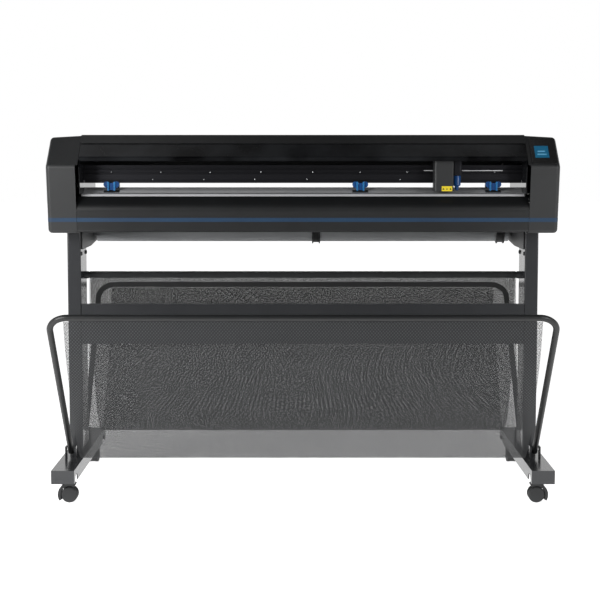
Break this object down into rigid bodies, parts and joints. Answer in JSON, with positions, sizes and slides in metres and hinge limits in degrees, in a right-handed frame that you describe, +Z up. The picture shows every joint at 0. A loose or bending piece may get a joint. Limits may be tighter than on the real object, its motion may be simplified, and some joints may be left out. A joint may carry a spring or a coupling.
{
  "type": "vinyl cutter",
  "caption": "Wide stand-mounted vinyl cutter: feed drum and pinch rollers, a sliding tool carriage, a touch display, roll rollers and mesh catch baskets on castered feet.",
  "frame": {"origin": "on the floor under the middle of the machine (bottom centre of its box)", "axes": "+Z up, the operator stands on the -Y side, +X to the operator's right along the head"},
  "size_m": [1.58, 1.1806, 1.117],
  "materials": {
    "black_plastic": "fine moulded texture, satin",
    "smoked_plastic": "smooth, smoked grey",
    "black_paint": "black powder coat",
    "black_anodised": "black anodised extrusion",
    "aluminium": "satin",
    "steel": "ground",
    "blue_plastic": "blue moulded",
    "rubber": "matt black",
    "net": "coated black mesh",
    "display_glass": "polished black window",
    "board": "green circuit board"
  },
  "bodies": {
    "root": {"base_beam": "aluminium", "control_board": "board", "cross_beam": "black_paint", "drive_belt": "rubber", "front_apron": "black_plastic", "front_visor": "smoked_plastic", "left_end_cover": "black_plastic", "left_foot": "black_paint", "left_leg": "black_paint", "left_roller_bracket": "black_paint", "left_side_plate": "aluminium", "net_front_inner": "net", "net_rear_inner": "net", "platen": "aluminium", "power_inlet": "black_plastic", "rear_panel": "black_plastic", "right_end_cover": "black_plastic", "right_foot": "black_paint", "right_leg": "black_paint", "right_roller_bracket": "black_paint", "right_side_plate": "aluminium", "roller_bar": "black_paint", "top_cover": "black_plastic", "touch_glass": "display_glass", "x_motor": "black_plastic", "y_beam": "black_anodised", "y_motor": "black_plastic"},
    "carriage": {"carriage_body": "black_anodised", "carriage_cover": "black_plastic"},
    "tool": {"tool_holder": "black_anodised", "blade_holder": "blue_plastic"},
    "drive_pulley": {"drive_pulley": "steel"},
    "idler_pulley": {"idler_pulley": "steel"},
    "drum": {"drive_drum": "steel", "drum_gear": "steel"},
    "pinion": {"motor_pinion": "steel"},
    "switch": {"power_switch": "black_plastic"},
    "front_roller": {"front_roller": "aluminium"},
    "back_roller": {"back_roller": "aluminium"},
    "flange_1": {"media_flange_1": "black_plastic"},
    "flange_2": {"media_flange_2": "black_plastic"},
    "front_basket": {"front_frame": "black_paint", "net_front_outer": "net"},
    "rear_basket": {"rear_frame": "black_paint", "net_rear_outer": "net"},
    "pinch_arm_1": {"pinch_arm_1": "blue_plastic"},
    "pinch_wheel_1": {"pinch_wheel_1": "rubber"},
    "pinch_arm_2": {"pinch_arm_2": "blue_plastic"},
    "pinch_wheel_2": {"pinch_wheel_2": "rubber"},
    "pinch_arm_3": {"pinch_arm_3": "blue_plastic"},
    "pinch_wheel_3": {"pinch_wheel_3": "rubber"},
    "front_left_swivel": {"front_left_caster_body": "black_plastic"},
    "front_left_wheels": {"front_left_caster_wheels": "rubber"},
    "front_right_swivel": {"front_right_caster_body": "black_plastic"},
    "front_right_wheels": {"front_right_caster_wheels": "rubber"},
    "rear_left_swivel": {"rear_left_caster_body": "black_plastic"},
    "rear_left_wheels": {"rear_left_caster_wheels": "rubber"},
    "rear_right_swivel": {"rear_right_caster_body": "black_plastic"},
    "rear_right_wheels": {"rear_right_caster_wheels": "rubber"}
  },
  "joints": [
    {"name": "carriage_slide", "type": "slide", "parent": "root", "child": "carriage", "axis": [1, 0, 0], "range_m": [-1.08, 0.17]},
    {"name": "tool_lift", "type": "slide", "parent": "carriage", "child": "tool", "axis": [0, 0, 1], "range_m": [-0.004, 0], "stiffness_N_per_m": 400, "springref_m": 0.008},
    {"name": "drive_pulley_spin", "type": "hinge", "parent": "root", "child": "drive_pulley", "pos_m": [0.66, -0.029, 1.011], "axis": [0, 1, 0], "continuous": true},
    {"name": "idler_pulley_spin", "type": "hinge", "parent": "root", "child": "idler_pulley", "pos_m": [-0.66, -0.029, 1.011], "axis": [0, 1, 0], "continuous": true},
    {"name": "drum_spin", "type": "hinge", "parent": "root", "child": "drum", "pos_m": [0, -0.07, 0.9413], "axis": [1, 0, 0], "continuous": true},
    {"name": "pinion_spin", "type": "hinge", "parent": "root", "child": "pinion", "pos_m": [0.7, -0.03519, 0.9212], "axis": [1, 0, 0], "continuous": true},
    {"name": "pinch_lift_1", "type": "hinge", "parent": "root", "child": "pinch_arm_1", "pos_m": [-0.6, -0.1085, 0.972], "axis": [1, 0, 0], "range_deg": [0, 6]},
    {"name": "pinch_wheel_1_spin", "type": "hinge", "parent": "pinch_arm_1", "child": "pinch_wheel_1", "pos_m": [-0.6, -0.07, 0.9621], "axis": [1, 0, 0], "continuous": true},
    {"name": "pinch_lift_2", "type": "hinge", "parent": "root", "child": "pinch_arm_2", "pos_m": [0.18, -0.1085, 0.972], "axis": [1, 0, 0], "range_deg": [0, 6]},
    {"name": "pinch_wheel_2_spin", "type": "hinge", "parent": "pinch_arm_2", "child": "pinch_wheel_2", "pos_m": [0.18, -0.07, 0.9621], "axis": [1, 0, 0], "continuous": true},
    {"name": "pinch_lift_3", "type": "hinge", "parent": "root", "child": "pinch_arm_3", "pos_m": [0.597, -0.1085, 0.972], "axis": [1, 0, 0], "range_deg": [0, 6]},
    {"name": "pinch_wheel_3_spin", "type": "hinge", "parent": "pinch_arm_3", "child": "pinch_wheel_3", "pos_m": [0.597, -0.07, 0.9621], "axis": [1, 0, 0], "continuous": true},
    {"name": "switch_rock", "type": "hinge", "parent": "root", "child": "switch", "pos_m": [0.744, 0.183, 0.92], "axis": [1, 0, 0], "range_deg": [0, 12]},
    {"name": "front_roller_spin", "type": "hinge", "parent": "root", "child": "front_roller", "pos_m": [0, 0.245, 0.793], "axis": [1, 0, 0], "continuous": true},
    {"name": "back_roller_spin", "type": "hinge", "parent": "root", "child": "back_roller", "pos_m": [0, 0.345, 0.793], "axis": [1, 0, 0], "continuous": true},
    {"name": "flange_1_slide", "type": "slide", "parent": "front_roller", "child": "flange_1", "axis": [1, 0, 0], "range_m": [-0.69, 0.57]},
    {"name": "flange_2_slide", "type": "slide", "parent": "front_roller", "child": "flange_2", "axis": [1, 0, 0], "range_m": [-0.58, 0.01]},
    {"name": "front_basket_fold", "type": "hinge", "parent": "root", "child": "front_basket", "pos_m": [0, -0.169, 0.134], "axis": [-1, 0, 0], "range_deg": [0, 38]},
    {"name": "rear_basket_fold", "type": "hinge", "parent": "root", "child": "rear_basket", "pos_m": [0, 0.169, 0.134], "axis": [1, 0, 0], "range_deg": [0, 38]},
    {"name": "front_left_swivel_turn", "type": "hinge", "parent": "root", "child": "front_left_swivel", "pos_m": [-0.725, -0.308, 0.068], "axis": [0, 0, 1], "continuous": true},
    {"name": "front_left_wheels_spin", "type": "hinge", "parent": "front_left_swivel", "child": "front_left_wheels", "pos_m": [-0.713, -0.308, 0.025], "axis": [0, 1, 0], "continuous": true},
    {"name": "front_right_swivel_turn", "type": "hinge", "parent": "root", "child": "front_right_swivel", "pos_m": [0.725, -0.308, 0.068], "axis": [0, 0, 1], "continuous": true},
    {"name": "front_right_wheels_spin", "type": "hinge", "parent": "front_right_swivel", "child": "front_right_wheels", "pos_m": [0.713, -0.308, 0.025], "axis": [0, 1, 0], "continuous": true},
    {"name": "rear_left_swivel_turn", "type": "hinge", "parent": "root", "child": "rear_left_swivel", "pos_m": [-0.725, 0.308, 0.068], "axis": [0, 0, 1], "continuous": true},
    {"name": "rear_left_wheels_spin", "type": "hinge", "parent": "rear_left_swivel", "child": "rear_left_wheels", "pos_m": [-0.725, 0.32, 0.025], "axis": [1, 0, 0], "continuous": true},
    {"name": "rear_right_swivel_turn", "type": "hinge", "parent": "root", "child": "rear_right_swivel", "pos_m": [0.725, 0.308, 0.068], "axis": [0, 0, 1], "continuous": true},
    {"name": "rear_right_wheels_spin", "type": "hinge", "parent": "rear_right_swivel", "child": "rear_right_wheels", "pos_m": [0.725, 0.32, 0.025], "axis": [1, 0, 0], "continuous": true}
  ],
  "couplings": [
    {"joint": "drive_pulley_spin", "follows": "carriage_slide", "rad_per_m": 95.238},
    {"joint": "idler_pulley_spin", "follows": "carriage_slide", "rad_per_m": 95.238},
    {"joint": "pinion_spin", "follows": "drum_spin", "ratio": -3},
    {"joint": "pinch_wheel_1_spin", "follows": "drum_spin", "ratio": -1.5625},
    {"joint": "pinch_wheel_2_spin", "follows": "drum_spin", "ratio": -1.5625},
    {"joint": "pinch_wheel_3_spin", "follows": "drum_spin", "ratio": -1.5625}
  ]
}
